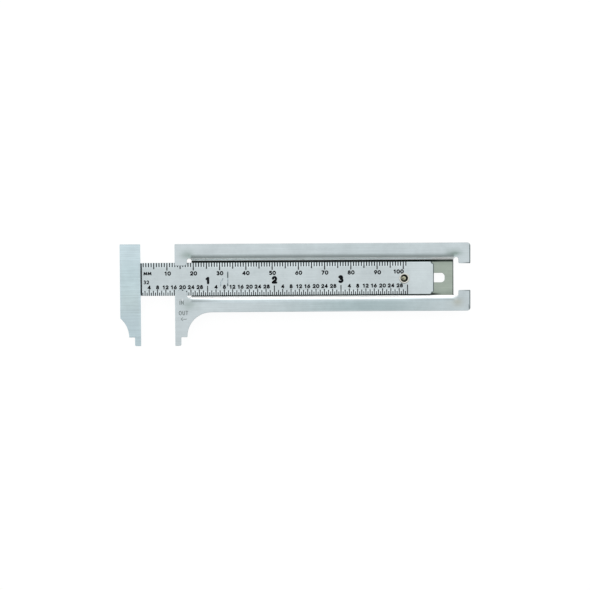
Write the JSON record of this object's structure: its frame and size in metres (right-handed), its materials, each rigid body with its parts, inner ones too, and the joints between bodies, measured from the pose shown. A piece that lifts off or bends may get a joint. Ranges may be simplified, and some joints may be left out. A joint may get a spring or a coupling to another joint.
{
  "type": "pocket caliper",
  "caption": "Stamped steel pocket slide caliper: a graduated rule with the sliding jaw runs in a pressed frame with the fixed jaw, held by a hollow rivet in a slot.",
  "frame": {"origin": "middle of the caliper's box at its pictured opening, at its lowest point, the rivet's head", "axes": "+X along the rule towards its tail, +Y across the rule away from the jaw tips, +Z out of the graduated face"},
  "size_m": [0.1334, 0.0386, 0.0047],
  "materials": {
    "frame_steel": "satin, fine grain along the rails",
    "rule_steel": "satin chrome, fine grain along the rule",
    "jaw_steel": "brushed across the jaw",
    "rivet_steel": "bright, turned",
    "washer_steel": "satin",
    "spring_steel": "bright spring strip",
    "black_fill": "matt black paint in the etching"
  },
  "bodies": {
    "frame": {"frame": "frame_steel"},
    "slide": {"rule": "rule_steel", "sliding_jaw": "jaw_steel", "stop_rivet": "rivet_steel", "slide_washer": "washer_steel", "spring_washer": "spring_steel", "mm_graduations": "black_fill", "inch_graduations": "black_fill"}
  },
  "joints": [
    {"name": "rule_slide", "type": "slide", "parent": "frame", "child": "slide", "axis": [-1, 0, 0], "range_m": [-0.013, 0.07565]}
  ]
}
